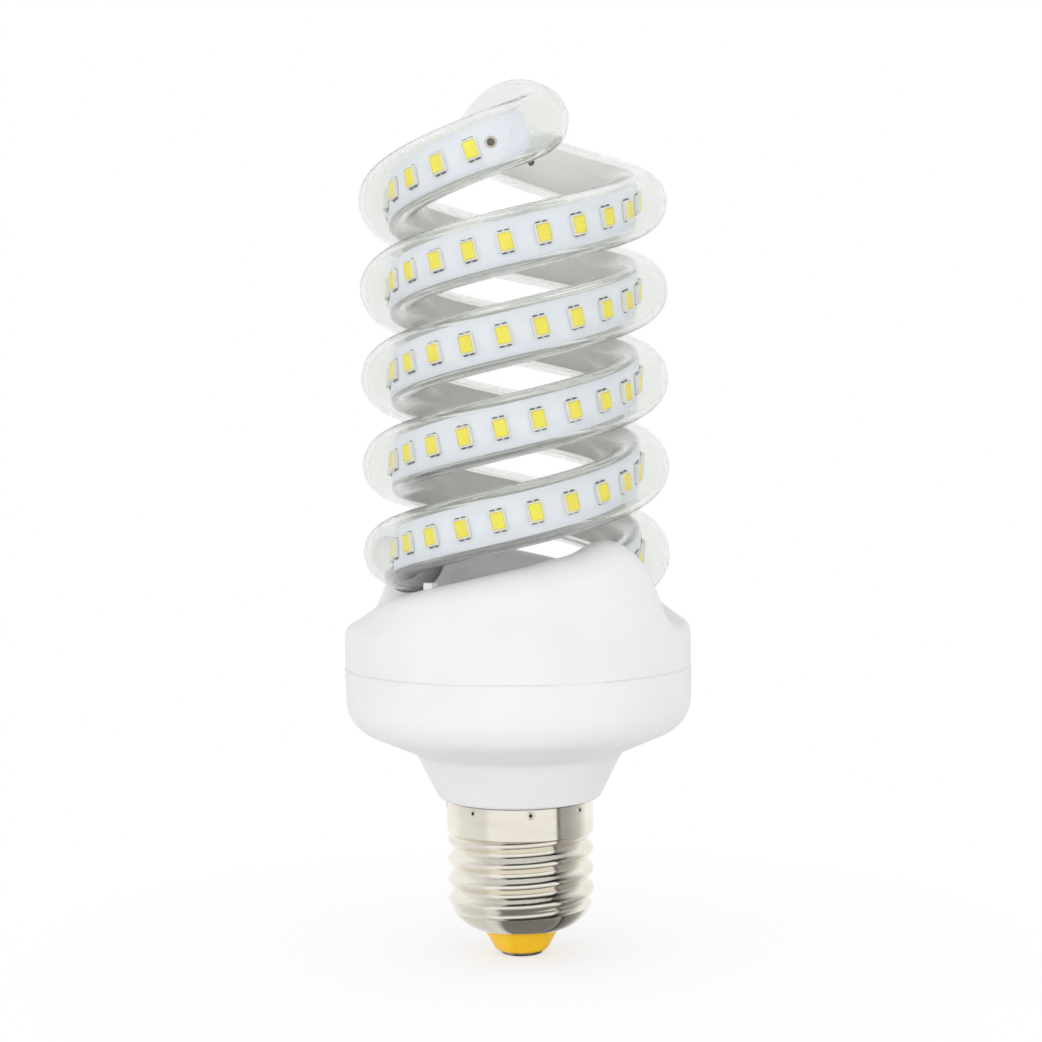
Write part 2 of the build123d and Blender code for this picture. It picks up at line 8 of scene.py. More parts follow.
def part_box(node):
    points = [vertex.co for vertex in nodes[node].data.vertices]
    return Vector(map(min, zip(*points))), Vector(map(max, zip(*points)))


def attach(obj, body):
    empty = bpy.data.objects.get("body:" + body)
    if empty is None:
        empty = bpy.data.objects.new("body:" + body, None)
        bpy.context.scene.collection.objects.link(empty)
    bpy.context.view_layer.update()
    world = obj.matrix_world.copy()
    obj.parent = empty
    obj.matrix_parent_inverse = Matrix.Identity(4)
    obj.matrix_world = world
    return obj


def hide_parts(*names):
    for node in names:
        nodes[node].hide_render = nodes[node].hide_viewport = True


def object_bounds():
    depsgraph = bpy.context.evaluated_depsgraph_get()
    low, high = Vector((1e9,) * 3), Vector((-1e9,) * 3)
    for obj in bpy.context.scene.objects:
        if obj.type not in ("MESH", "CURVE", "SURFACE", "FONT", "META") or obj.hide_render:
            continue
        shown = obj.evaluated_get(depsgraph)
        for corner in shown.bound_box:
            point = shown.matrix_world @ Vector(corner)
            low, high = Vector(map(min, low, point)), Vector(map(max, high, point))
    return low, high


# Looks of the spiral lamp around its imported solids. Metres, +Z up, the contact's tip at the origin.
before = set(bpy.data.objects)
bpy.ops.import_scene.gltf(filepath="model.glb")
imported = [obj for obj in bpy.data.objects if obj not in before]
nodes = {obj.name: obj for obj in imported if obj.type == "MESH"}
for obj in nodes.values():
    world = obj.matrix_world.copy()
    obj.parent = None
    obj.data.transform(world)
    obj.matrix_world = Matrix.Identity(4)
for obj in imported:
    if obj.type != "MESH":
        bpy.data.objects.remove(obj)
cad_low, cad_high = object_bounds()
scene = bpy.context.scene
mm = 0.001
full_turn = 360.0
front_angle = -90.0
weld_reach = 0.002 * mm
upward = Vector((0.0, 0.0, 1.0))

# Sizes of the glass and what it carries, as in the solids
tube_radius = 5.4 * mm
tube_wall = 1.0 * mm
tube_sides = 96
spiral_lead = 31.1 * mm
tube_end_angle = -190.0
riser_start_angle = 645.0
hook_leave_angle = 705.0
hook_radius = 8.0 * mm
hook_slope = 0.35
strip_inset = 0.3 * mm
strip_thickness = 0.5 * mm
strip_hook_angle = 66.0
strip_hole_radius = 0.7 * mm
strip_hole_setback = 7.2 * mm
led_length = 2.8 * mm
led_width = 3.5 * mm
led_height = 0.8 * mm
led_frame = 0.3 * mm
led_pocket_depth = 0.25 * mm
led_fit = 0.04 * mm
led_seat = 0.05 * mm
led_count = 50
leds_per_turn = 21.8
led_step_angle = full_turn / leds_per_turn
led_top_angle = 702.0
collar_radius = 13.2 * mm
crimp_angles = (-84.0, -39.0, 8.0, 53.0, 98.0, 143.0, 188.0, 233.0)
crimp_drop = 1.25 * mm
crimp_sink = 0.04 * mm
crimp_bore = 0.32 * mm
crimp_radius = 0.72 * mm
crimp_height = 0.14 * mm
# Dark discs of painted shade inside the crimp dents
crimp_shade_bore = 0.03 * mm
crimp_shade_radius = 0.34 * mm
crimp_shade_height = 0.08 * mm

# Small rings at the top end of each strip
eyelet_radius = 1.05 * mm
eyelet_height = 0.08 * mm
# A dark disc of painted shade fills the strip's hole
hole_shade_bore = 0.05 * mm
hole_shade_share = 0.8
pad_bore = 0.62 * mm
pad_radius = 0.84 * mm
pad_height = 0.05 * mm
pad_share = 0.68

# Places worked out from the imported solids
glass_low, glass_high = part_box("glass_spiral")
spiral_radius = (glass_high[0] - glass_low[0]) / 2 - tube_radius
spiral_slope = spiral_lead / (2 * math.pi * spiral_radius)
tube_end_height = glass_low[2] + tube_radius * math.cos(math.atan(spiral_slope))
first_front_height = tube_end_height - spiral_lead * tube_end_angle / full_turn
riser_angle = hook_leave_angle - riser_start_angle
riser_gain = (hook_slope - spiral_slope) * spiral_radius * math.radians(riser_angle) / 2
hook_centre_radius = spiral_radius - hook_radius
hook_turn_angle = full_turn / 4 + math.degrees(math.asin(hook_radius / hook_centre_radius))
cap_rim_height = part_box("screw_shell")[1][2]


def level_way(angle):
    """Level unit vector from the axis towards an angle counted from the front."""
    turn = math.radians(angle + front_angle)
    return Vector((math.cos(turn), math.sin(turn), 0.0))


def strand_height(angle):
    """Height of strand a's centre line, which steepens over its last part."""
    steeper = max(0.0, angle - riser_start_angle) / riser_angle
    return first_front_height + spiral_lead * angle / full_turn + riser_gain * steeper**2


def strand_slope(angle):
    """Climb of strand a's centre line for each length run on the level."""
    steeper = max(0.0, angle - riser_start_angle) / riser_angle
    return spiral_slope + (hook_slope - spiral_slope) * steeper


def across_frame(place, outward, slope):
    """Axes across a climbing path: x outward, y up its width, z along it."""
    along = (upward.cross(outward) + upward * slope).normalized()
    raised = along.cross(outward)
    turn = Matrix((outward, raised, along)).transposed()
    return Matrix.Translation(place) @ turn.to_4x4()


def strand_frame(angle, inset=0.0):
    """Axes across strand a's main run."""
    outward = level_way(angle)
    place = outward * (spiral_radius - inset) + upward * strand_height(angle)
    return across_frame(place, outward, strand_slope(angle) * spiral_radius / (spiral_radius - inset))


def hook_frame(turn, inset=0.0):
    """Axes across the tight bend at the top of strand a."""
    outward = level_way(hook_leave_angle + turn)
    height = strand_height(hook_leave_angle) + hook_radius * math.radians(turn) * hook_slope
    centre = level_way(hook_leave_angle) * hook_centre_radius + upward * height
    return across_frame(centre + outward * (hook_radius - inset), outward, hook_slope)


# Making pieces

def finish_piece(shape, name, finish, stands_for=(), smooth=True):
    """Turns a worked shape into a piece of the lamp."""
    bmesh.ops.recalc_face_normals(shape, faces=shape.faces)
    for face in shape.faces:
        face.smooth = smooth
    mesh = bpy.data.meshes.new(name)
    shape.to_mesh(mesh)
    shape.free()
    mesh.materials.append(finish)
    piece = bpy.data.objects.new(name, mesh)
    scene.collection.objects.link(piece)
    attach(piece, "root")
    if stands_for:
        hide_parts(*stands_for)
    return piece


def rim_edges(verts):
    """Edges that join the given corners to each other."""
    chosen = set(verts)
    near = {edge for vert in verts for edge in vert.link_edges}
    return [edge for edge in near if set(edge.verts) <= chosen]


def carry(shape, end, centre, axis, angle, rise, steps):
    """Carries the tube's open end on round an axis, and gives the new end."""
    turn = math.radians(angle)
    climb = upward * (rise / steps)
    moved = bmesh.ops.spin(shape, geom=end, cent=centre, axis=axis, angle=turn, dvec=climb, steps=steps)
    return [part for part in moved["geom_last"] if isinstance(part, (bmesh.types.BMVert, bmesh.types.BMEdge))]


def tilt(shape, end, place, outward, angle):
    """Tilts the tube's open end, so that it stays across a steepening path."""
    verts = [part for part in end if isinstance(part, bmesh.types.BMVert)]
    bmesh.ops.rotate(shape, verts=verts, cent=place, matrix=Matrix.Rotation(angle, 3, outward))


def half_skin(radius, lip_radius=None):
    """One wall of strand a: helix, riser, hook and half way over the axis. A lip closes its foot."""
    main_angle = riser_start_angle - tube_end_angle
    main_rise = spiral_lead * main_angle / full_turn
    main_step_angle = 4.5
    main_steps = round(main_angle / main_step_angle)
    riser_steps = 14
    hook_steps = 24
    crossing_steps = 5
    hook_rise = hook_radius * math.radians(hook_turn_angle) * hook_slope
    hook_centre = level_way(hook_leave_angle) * hook_centre_radius
    skin = bmesh.new()
    foot = strand_frame(tube_end_angle)
    rim = bmesh.ops.create_circle(skin, segments=tube_sides, radius=radius, matrix=foot)
    end = rim["verts"] + rim_edges(rim["verts"])
    if lip_radius:
        lip = bmesh.ops.extrude_edge_only(skin, edges=rim_edges(rim["verts"]))["geom"]
        lip_verts = [part for part in lip if isinstance(part, bmesh.types.BMVert)]
        drawn_in = lip_radius / radius
        to_foot = Matrix.Translation(-foot.translation)
        bmesh.ops.scale(skin, verts=lip_verts, vec=(drawn_in, drawn_in, drawn_in), space=to_foot)
    end = carry(skin, end, (0, 0, 0), upward, main_angle, main_rise, main_steps)
    riser_stops = [riser_start_angle + riser_angle * step / riser_steps for step in range(riser_steps + 1)]
    for low, high in zip(riser_stops, riser_stops[1:]):
        end = carry(skin, end, (0, 0, 0), upward, high - low, strand_height(high) - strand_height(low), 1)
        steepening = math.atan(strand_slope(high)) - math.atan(strand_slope(low))
        tilt(skin, end, strand_frame(high).translation, level_way(high), steepening)
    end = carry(skin, end, hook_centre, upward, hook_turn_angle, hook_rise, hook_steps)
    tip_frame = hook_frame(hook_turn_angle)
    tip = tip_frame.translation
    climb = math.atan(hook_slope)
    arc_radius = math.hypot(tip.x, tip.y) / math.sin(climb)
    arc_centre = upward * (tip.z - arc_radius * math.cos(climb))
    arc_axis = (tip - arc_centre).cross(tip_frame.col[2].to_3d()).normalized()
    carry(skin, end, arc_centre, arc_axis, math.degrees(climb), 0.0, crossing_steps)
    return skin


def glass_tube_shape():
    """The bent tube: both walls of strand a and the same turned half round, welded, ends closed."""
    shape = bmesh.new()
    bore = tube_radius - tube_wall
    for skin in (half_skin(tube_radius, bore), half_skin(bore)):
        skin_mesh = bpy.data.meshes.new("tube_skin")
        skin.to_mesh(skin_mesh)
        skin.free()
        shape.from_mesh(skin_mesh)
        skin_mesh.transform(Matrix.Rotation(math.pi, 4, "Z"))
        shape.from_mesh(skin_mesh)
        bpy.data.meshes.remove(skin_mesh)
    bmesh.ops.remove_doubles(shape, verts=shape.verts, dist=weld_reach)
    return shape


def block_shape(length, width, height, base, middle=(0.0, 0.0)):
    """A block standing on a height, with its corners ready to be worked."""
    shape = bmesh.new()
    place = Matrix.Translation((*middle, base + height / 2)) @ Matrix.Diagonal((length, width, height, 1.0))
    bmesh.ops.create_cube(shape, size=1.0, matrix=place)
    return shape


def upright_edges(shape):
    return [edge for edge in shape.edges if abs(edge.verts[0].co.z - edge.verts[1].co.z) > led_seat / 2]


def top_face(shape):
    return max(shape.faces, key=lambda face: face.calc_center_median().z)


def soften(shape, edges, reach, steps):
    bmesh.ops.bevel(shape, geom=edges, offset=reach, segments=steps, profile=0.5, affect="EDGES", material=-1)


def led_frame_shape():
    """Moulded LED body: rounded corners, a rim, and a pocket with sloping walls."""
    corner_round = 0.16 * mm
    rim_round = 0.05 * mm
    wall_limit = 0.5
    rim_reach = 0.52
    shape = block_shape(led_length, led_width, led_height, 0.0)
    soften(shape, upright_edges(shape), corner_round, 2)
    lid = top_face(shape)
    bmesh.ops.inset_individual(shape, faces=[lid], thickness=led_frame - led_fit, use_even_offset=True)
    bmesh.ops.inset_individual(
        shape, faces=[lid], thickness=led_fit, depth=-led_pocket_depth, use_even_offset=True
    )
    outer_rim = [
        edge
        for edge in shape.edges
        if all(vert.co.z > led_height - led_fit for vert in edge.verts)
        and any(abs(face.normal.z) < wall_limit for face in edge.link_faces)
        and max(abs(vert.co.y) / led_width + abs(vert.co.x) / led_length for vert in edge.verts) > rim_reach
    ]
    soften(shape, outer_rim, rim_round, 1)
    return shape


def led_gel_shape():
    """Phosphor gel in the pocket, drawn in towards its top edge."""
    gel_round = 0.1 * mm
    pocket_floor = led_height - led_pocket_depth
    shape = block_shape(
        led_length - 2 * (led_frame + led_fit),
        led_width - 2 * (led_frame + led_fit),
        led_pocket_depth - led_fit,
        pocket_floor,
    )
    soften(shape, upright_edges(shape), gel_round, 2)
    soften(shape, list(top_face(shape).edges), gel_round, 2)
    return shape


def led_tab_shape():
    """The four tinned feet that show above and below an LED."""
    tab_length = 0.86 * mm
    tab_width = 0.27 * mm
    tab_height = 0.26 * mm
    tab_gap = 0.34 * mm
    tab_round = 0.07 * mm
    shape = bmesh.new()
    for along in (-1, 1):
        for across in (-1, 1):
            middle = (along * (tab_length + tab_gap) / 2, across * (led_width + tab_width) / 2)
            foot = block_shape(tab_length, tab_width, tab_height, -led_seat, middle)
            soften(foot, foot.edges[:], tab_round, 1)
            foot_mesh = bpy.data.meshes.new("led_tab")
            foot.to_mesh(foot_mesh)
            foot.free()
            shape.from_mesh(foot_mesh)
            bpy.data.meshes.remove(foot_mesh)
    return shape


def set_out(shape, places):
    """Repeats a small shape at every place, in one mesh."""
    master = bpy.data.meshes.new("master")
    shape.to_mesh(master)
    shape.free()
    row = bmesh.new()
    for place in places:
        before = len(row.verts)
        row.from_mesh(master)
        row.verts.ensure_lookup_table()
        bmesh.ops.transform(row, matrix=place, verts=row.verts[before:])
    bpy.data.meshes.remove(master)
    return row


def facing(frame_across, lift):
    """Axes on the strip's outer face: x along the strip, y across it, z outward."""
    outward = frame_across.col[0].to_3d()
    along = frame_across.col[2].to_3d()
    turn = Matrix((along, outward.cross(along), outward)).transposed()
    return Matrix.Translation(frame_across.translation + outward * lift) @ turn.to_4x4()


def ring_shape(inner_radius, outer_radius, height):
    """Flat ring with a rounded top, turned about its middle."""
    ring_steps = 28
    crest_share = 0.75
    crest = height * crest_share
    shape = bmesh.new()
    profile = [
        shape.verts.new((inner_radius, 0.0, 0.0)),
        shape.verts.new((inner_radius, 0.0, crest)),
        shape.verts.new(((inner_radius + outer_radius) / 2, 0.0, height)),
        shape.verts.new((outer_radius, 0.0, crest / 2)),
        shape.verts.new((outer_radius, 0.0, 0.0)),
    ]
    edges = [shape.edges.new(pair) for pair in zip(profile, profile[1:])]
    edges.append(shape.edges.new((profile[-1], profile[0])))
    bmesh.ops.spin(
        shape,
        geom=profile + edges,
        axis=upward,
        cent=(0, 0, 0),
        angle=2 * math.pi,
        steps=ring_steps,
        use_merge=True,
    )
    bmesh.ops.remove_doubles(shape, verts=shape.verts, dist=weld_reach)
    return shape


# Finishes
patch_low, patch_high = 0.3, 0.7
fine_detail = 2.0
grain_strength = 0.5


def start_finish(name):
    """A new node finish, its tree and its main shader."""
    finish = bpy.data.materials.new(name)
    finish.use_nodes = True
    return finish, finish.node_tree, finish.node_tree.nodes["Principled BSDF"]


def add_step(tree, kind, wires=(), **settings):
    """Adds one node, with its settings and what is wired into its sockets."""
    step = tree.nodes.new(kind)
    for field, value in settings.items():
        setattr(step, field, value)
    for socket, source in wires:
        if isinstance(source, bpy.types.NodeSocket):
            tree.links.new(source, step.inputs[socket])
        else:
            step.inputs[socket].default_value = source
    return step


def reckon(tree, operation, *values):
    """One step of arithmetic."""
    return add_step(tree, "ShaderNodeMath", list(enumerate(values)), operation=operation).outputs[0]


def object_place(tree, stretch=(1.0, 1.0, 1.0)):
    """Object coordinates, stretched to give a pattern its direction."""
    place = add_step(tree, "ShaderNodeTexCoord")
    turned = add_step(tree, "ShaderNodeMapping", [("Vector", place.outputs["Object"]), ("Scale", stretch)])
    return turned.outputs["Vector"]


def patches(tree, place, size, detail=3.0, rough=0.55):
    """Soft noise whose patches are about one size across."""
    wires = [("Vector", place), ("Scale", 1 / size), ("Detail", detail), ("Roughness", rough)]
    return add_step(tree, "ShaderNodeTexNoise", wires).outputs["Fac"]


def between(tree, source, low, high, from_low=patch_low, from_high=patch_high):
    """Brings a pattern into a range of values."""
    wires = [("Value", source), ("From Min", from_low), ("From Max", from_high)]
    wires += [("To Min", low), ("To Max", high)]
    return add_step(tree, "ShaderNodeMapRange", wires).outputs["Result"]


def tones(tree, source, stops):
    """Colours along a pattern, as (place, colour) stops."""
    ramp = add_step(tree, "ShaderNodeValToRGB", [("Fac", source)])
    while len(ramp.color_ramp.elements) < len(stops):
        ramp.color_ramp.elements.new(0.5)
    for element, (spot, colour) in zip(ramp.color_ramp.elements, stops):
        element.position = spot
        element.color = (*colour, 1.0)
    return ramp.outputs["Color"]


def two_tone(tree, pattern, dark, light):
    """Two colours along a soft noise."""
    return tones(tree, pattern, [(patch_low, dark), (patch_high, light)])


def relief(tree, height, depth):
    """Surface relief from a pattern; depth in metres."""
    wires = [("Height", height), ("Distance", depth), ("Strength", grain_strength)]
    return add_step(tree, "ShaderNodeBump", wires).outputs["Normal"]


def moulded(
    name, dark, light, patch, rough, grain, grain_depth, metal=0.0, shine=0.5, stretch=(1.0, 1.0, 1.0)
):
    """A moulded, coated or plated finish: mottled colour, uneven gloss and a fine grain."""
    finish, tree, shader = start_finish(name)
    place = object_place(tree, stretch)
    wide = patches(tree, place, patch)
    fine = patches(tree, place, grain, detail=fine_detail)
    tree.links.new(two_tone(tree, wide, dark, light), shader.inputs["Base Color"])
    tree.links.new(between(tree, fine, *rough), shader.inputs["Roughness"])
    tree.links.new(relief(tree, fine, grain_depth), shader.inputs["Normal"])
    shader.inputs["Metallic"].default_value = metal
    shader.inputs["Specular IOR Level"].default_value = shine
    return finish


def drawn_glass():
    """Clear drawn tube with a pale green-grey body, its tint and haze changing in slow patches along it."""
    body_dark = (0.88, 0.89, 0.873)
    body_light = (0.9, 0.91, 0.893)
    wave_size = 7 * mm
    haze = (0.0, 0.02)
    clearness = 0.965
    bending = 1.33
    finish, tree, shader = start_finish("clear_drawn_glass")
    place = object_place(tree)
    drawn = patches(tree, place, wave_size, detail=1.0)
    tree.links.new(two_tone(tree, drawn, body_dark, body_light), shader.inputs["Base Color"])
    tree.links.new(between(tree, drawn, *haze), shader.inputs["Roughness"])
    shader.inputs["Transmission Weight"].default_value = clearness
    shader.inputs["IOR"].default_value = bending
    return finish


def outer_share(tree):
    """1 where a surface of the spiral faces outward, 0 where it faces the lamp's axis."""
    level_only = (1.0, 1.0, 0.0)
    edge_blend = 0.3
    place = add_step(tree, "ShaderNodeTexCoord").outputs["Object"]
    level = add_step(tree, "ShaderNodeVectorMath", [(0, place), (1, level_only)], operation="MULTIPLY")
    outward = add_step(tree, "ShaderNodeVectorMath", [(0, level.outputs["Vector"])], operation="NORMALIZE")
    surface = add_step(tree, "ShaderNodeNewGeometry")
    facing_out = add_step(
        tree,
        "ShaderNodeVectorMath",
        [(0, outward.outputs["Vector"]), (1, surface.outputs["True Normal"])],
        operation="DOT_PRODUCT",
    )
    return between(tree, facing_out.outputs["Value"], 0.0, 1.0, -edge_blend, edge_blend)


def strip_circuit():
    """Flexible circuit strip: cool white mask over the outer face, bare warm white film on the inner one,
    lightened further as painted light.
    """
    mask_tones = (0.835, 0.872, 0.97), (0.865, 0.9, 0.985)
    film_and_painted_light_tones = (0.955, 0.965, 0.93), (0.975, 0.985, 0.955)
    patch, grain, grain_depth = 4 * mm, 0.5 * mm, 0.01 * mm
    rough = (0.28, 0.4)
    finish, tree, shader = start_finish("strip_solder_mask")
    place = object_place(tree)
    wide = patches(tree, place, patch)
    fine = patches(tree, place, grain, detail=fine_detail)
    mask = two_tone(tree, wide, *mask_tones)
    # The inner face is the bare film's own warm white, made extra light as painted light where little light
    # reaches inside the spiral
    film_and_painted_light = two_tone(tree, wide, *film_and_painted_light_tones)
    both = add_step(tree, "ShaderNodeMix", data_type="RGBA")
    tree.links.new(outer_share(tree), both.inputs[0])
    tree.links.new(film_and_painted_light, both.inputs[6])
    tree.links.new(mask, both.inputs[7])
    tree.links.new(both.outputs[2], shader.inputs["Base Color"])
    tree.links.new(between(tree, fine, *rough), shader.inputs["Roughness"])
    tree.links.new(relief(tree, fine, grain_depth), shader.inputs["Normal"])
    return finish


def nickel_plate():
    """Bright nickel on rolled sheet: drawn round the cap, with painted shade in the gap under the neck."""
    plate_tones = (0.79, 0.745, 0.65), (0.89, 0.85, 0.755)
    drawn_round = (0.15, 0.15, 1.0)
    patch, grain, grain_depth = 3 * mm, 0.5 * mm, 0.003 * mm
    rough = (0.08, 0.15)
    gap_shade = 0.08
    gap_start = cap_rim_height - 0.4 * mm
    gap_full = cap_rim_height - 0.12 * mm
    finish, tree, shader = start_finish("nickel_plate")
    place = object_place(tree, drawn_round)
    wide = patches(tree, place, patch)
    fine = patches(tree, place, grain, detail=fine_detail)
    plate = two_tone(tree, wide, *plate_tones)
    height = add_step(tree, "ShaderNodeSeparateXYZ", [("Vector", object_place(tree))]).outputs["Z"]
    # Painted shade: the plate darkens towards its rim, where the gap under the neck is in shadow
    painted_neck_shade = between(tree, height, 1.0, gap_shade, gap_start, gap_full)
    shaded = add_step(tree, "ShaderNodeVectorMath", [(0, plate), ("Scale", painted_neck_shade)], operation="SCALE")
    tree.links.new(shaded.outputs["Vector"], shader.inputs["Base Color"])
    tree.links.new(between(tree, fine, *rough), shader.inputs["Roughness"])
    tree.links.new(relief(tree, fine, grain_depth), shader.inputs["Normal"])
    shader.inputs["Metallic"].default_value = 1.0
    return finish


glass = drawn_glass()
strip_mask = strip_circuit()
led_cream = moulded(
    "led_frame_cream", dark=(0.84, 0.82, 0.73), light=(0.9, 0.88, 0.8), patch=1 * mm,
    rough=(0.35, 0.5), grain=0.2 * mm, grain_depth=0.01 * mm,
)
phosphor = moulded(
    "phosphor_yellow", dark=(0.97, 0.79, 0.002), light=(0.985, 0.9, 0.006), patch=6 * mm,
    rough=(0.3, 0.45), grain=0.15 * mm, grain_depth=0.015 * mm,
)
tinned = moulded(
    "tinned_feet", dark=(0.04, 0.04, 0.04), light=(0.12, 0.115, 0.11), patch=0.4 * mm,
    rough=(0.35, 0.5), grain=0.1 * mm, grain_depth=0.02 * mm, metal=0.6,
)
solder_pad = moulded(
    "solder_pad", dark=(0.5, 0.42, 0.3), light=(0.72, 0.65, 0.52), patch=0.5 * mm,
    rough=(0.3, 0.45), grain=0.15 * mm, grain_depth=0.02 * mm, metal=0.2,
)
white_shell = moulded(
    "white_satin_plastic", dark=(0.715, 0.715, 0.722), light=(0.745, 0.745, 0.752), patch=12 * mm,
    rough=(0.42, 0.54), grain=0.35 * mm, grain_depth=0.006 * mm, shine=0.2,
)
nickel = nickel_plate()
# Near-black painted shade for the inside of the strip's hole and of the crimp dents
hole_and_dent_shade = moulded(
    "painted_hole_and_dent_shade", dark=(0.012, 0.01, 0.008), light=(0.03, 0.026, 0.02), patch=0.5 * mm,
    rough=(0.5, 0.7), grain=0.15 * mm, grain_depth=0.02 * mm,
)
orange = moulded(
    "orange_insulator", dark=(0.94, 0.54, 0.008), light=(0.98, 0.61, 0.015), patch=3 * mm,
    rough=(0.3, 0.42), grain=0.3 * mm, grain_depth=0.01 * mm,
)
dull_contact = moulded(
    "dull_contact_metal", dark=(0.3, 0.28, 0.24), light=(0.42, 0.39, 0.34), patch=1.5 * mm,
    rough=(0.35, 0.5), grain=0.2 * mm, grain_depth=0.01 * mm, metal=1.0,
)
silicone = moulded(
    "silicone_plug", dark=(0.72, 0.72, 0.7), light=(0.8, 0.8, 0.78), patch=2 * mm,
    rough=(0.4, 0.6), grain=0.3 * mm, grain_depth=0.01 * mm,
)
board_mask = moulded(
    "board_mask", dark=(0.03, 0.16, 0.06), light=(0.05, 0.22, 0.09), patch=3 * mm,
    rough=(0.3, 0.45), grain=0.6 * mm, grain_depth=0.01 * mm,
)
sleeve = moulded(
    "capacitor_sleeve", dark=(0.02, 0.02, 0.025), light=(0.04, 0.04, 0.05), patch=2 * mm,
    rough=(0.3, 0.4), grain=0.4 * mm, grain_depth=0.01 * mm,
)
film_coat = moulded(
    "film_coat", dark=(0.3, 0.04, 0.03), light=(0.4, 0.06, 0.04), patch=2 * mm,
    rough=(0.25, 0.4), grain=0.5 * mm, grain_depth=0.02 * mm,
)
ferrite = moulded(
    "ferrite_core", dark=(0.03, 0.03, 0.032), light=(0.06, 0.06, 0.062), patch=0.6 * mm,
    rough=(0.5, 0.7), grain=0.2 * mm, grain_depth=0.02 * mm,
)
copper_wire = moulded(
    "copper_winding", dark=(0.5, 0.2, 0.08), light=(0.62, 0.28, 0.12), patch=1 * mm,
    rough=(0.25, 0.4), grain=0.3 * mm, grain_depth=0.03 * mm, metal=1.0, stretch=(0.1, 0.1, 1.0),
)
chip_black = moulded(
    "chip_moulding", dark=(0.02, 0.02, 0.02), light=(0.035, 0.035, 0.035), patch=0.8 * mm,
    rough=(0.45, 0.6), grain=0.15 * mm, grain_depth=0.015 * mm,
)
fuse_coat = moulded(
    "fuse_coat", dark=(0.1, 0.2, 0.32), light=(0.14, 0.26, 0.4), patch=1 * mm,
    rough=(0.4, 0.55), grain=0.25 * mm, grain_depth=0.02 * mm,
)
lead_red = moulded(
    "lead_insulation", dark=(0.5, 0.03, 0.02), light=(0.62, 0.05, 0.03), patch=1 * mm,
    rough=(0.4, 0.5), grain=0.3 * mm, grain_depth=0.01 * mm,
)

finishes = {
    "led_strip_a": strip_mask,
    "led_strip_b": strip_mask,
    "strip_leads_a": lead_red,
    "strip_leads_b": lead_red,
    "tube_plug_a": silicone,
    "tube_plug_b": silicone,
    "upper_cover": white_shell,
    "lower_housing": white_shell,
    "screw_shell": nickel,
    "insulator": orange,
    "centre_contact": dull_contact,
    "driver_board": board_mask,
    "bulk_capacitor": sleeve,
    "film_capacitor": film_coat,
    "inductor_core": ferrite,
    "inductor_winding": copper_wire,
    "driver_chip": chip_black,
    "bridge_rectifier": chip_black,
    "fuse_resistor": fuse_coat,
    "live_lead": lead_red,
    "neutral_lead": copper_wire,
}
for name, finish in finishes.items():
    nodes[name].data.materials.clear()
    nodes[name].data.materials.append(finish)

# Pieces made here
glass_tube = finish_piece(glass_tube_shape(), "glass_tube", glass, ["glass_spiral"])
glass_tube.visible_shadow = False  # The lamps shine through it on the strips
strip_face = strip_thickness / 2
hook_strip_run = (hook_radius - strip_inset) * math.radians(strip_hook_angle)
hook_strip_length = hook_strip_run * math.hypot(1.0, hook_slope)
hole_turn = strip_hook_angle * (1 - strip_hole_setback / hook_strip_length)
pad_turn = strip_hook_angle * pad_share
led_lift = strip_face + led_seat
led_angles = [led_top_angle - number * led_step_angle for number in range(led_count)]
for strand, half_turn in (("a", Matrix.Identity(4)), ("b", Matrix.Rotation(math.pi, 4, "Z"))):
    led_places = [half_turn @ facing(strand_frame(angle, strip_inset), led_lift) for angle in led_angles]
    hole_place = half_turn @ facing(hook_frame(hole_turn, strip_inset), strip_face)
    hole_shade_place = half_turn @ facing(hook_frame(hole_turn, strip_inset), -strip_face)
    pad_place = half_turn @ facing(hook_frame(pad_turn, strip_inset), strip_face)
    frames = set_out(led_frame_shape(), led_places)
    gels = set_out(led_gel_shape(), led_places)
    feet = set_out(led_tab_shape(), led_places)
    eyelet = set_out(ring_shape(strip_hole_radius, eyelet_radius, eyelet_height), [hole_place])
    # Painted shade: a dark disc fills the strip's hole from its inner face
    hole_shade = set_out(ring_shape(hole_shade_bore, strip_hole_radius - led_fit, strip_thickness * hole_shade_share), [hole_shade_place])
    pad = set_out(ring_shape(pad_bore, pad_radius, pad_height), [pad_place])
    bodies = [f"led_packages_{strand}"]
    windows = [f"led_phosphors_{strand}"]
    finish_piece(frames, f"led_frames_{strand}", led_cream, bodies, smooth=False)
    finish_piece(gels, f"led_gels_{strand}", phosphor, windows, smooth=False)
    finish_piece(feet, f"led_feet_{strand}", tinned, smooth=False)
    finish_piece(eyelet, f"strip_eyelet_{strand}", solder_pad)
    finish_piece(hole_shade, f"strip_hole_shade_{strand}", hole_and_dent_shade)
    finish_piece(pad, f"strip_pad_{strand}", strip_mask)

crimp_places = []
for angle in crimp_angles:
    spot = level_way(angle) * collar_radius + upward * (cap_rim_height - crimp_drop)
    crimp_places.append(facing(across_frame(spot, level_way(angle), 0.0), -crimp_sink))
crimps = set_out(ring_shape(crimp_bore, crimp_radius, crimp_height), crimp_places)
finish_piece(crimps, "shell_crimps", nickel)
# Painted shade: a dark disc sits in each crimp dent
crimp_shade_discs = set_out(ring_shape(crimp_shade_bore, crimp_shade_radius, crimp_shade_height), crimp_places)
finish_piece(crimp_shade_discs, "shell_crimp_painted_shade", hole_and_dent_shade)


# Stage: pale floor, white surroundings, soft lamps and the camera
wall_stops = [
    (-115, 1.0), (-100, 0.88), (-56, 0.82), (-46, 1.0), (55, 1.0),
    (58, 0.1), (64, 0.4), (80, 0.45), (98, 0.6), (120, 1.0),
]
ceiling_stops = [(-110, 0.0), (-60, 0.3), (-40, 0.45), (-30, 0.95), (70, 0.95), (100, 0.0)]
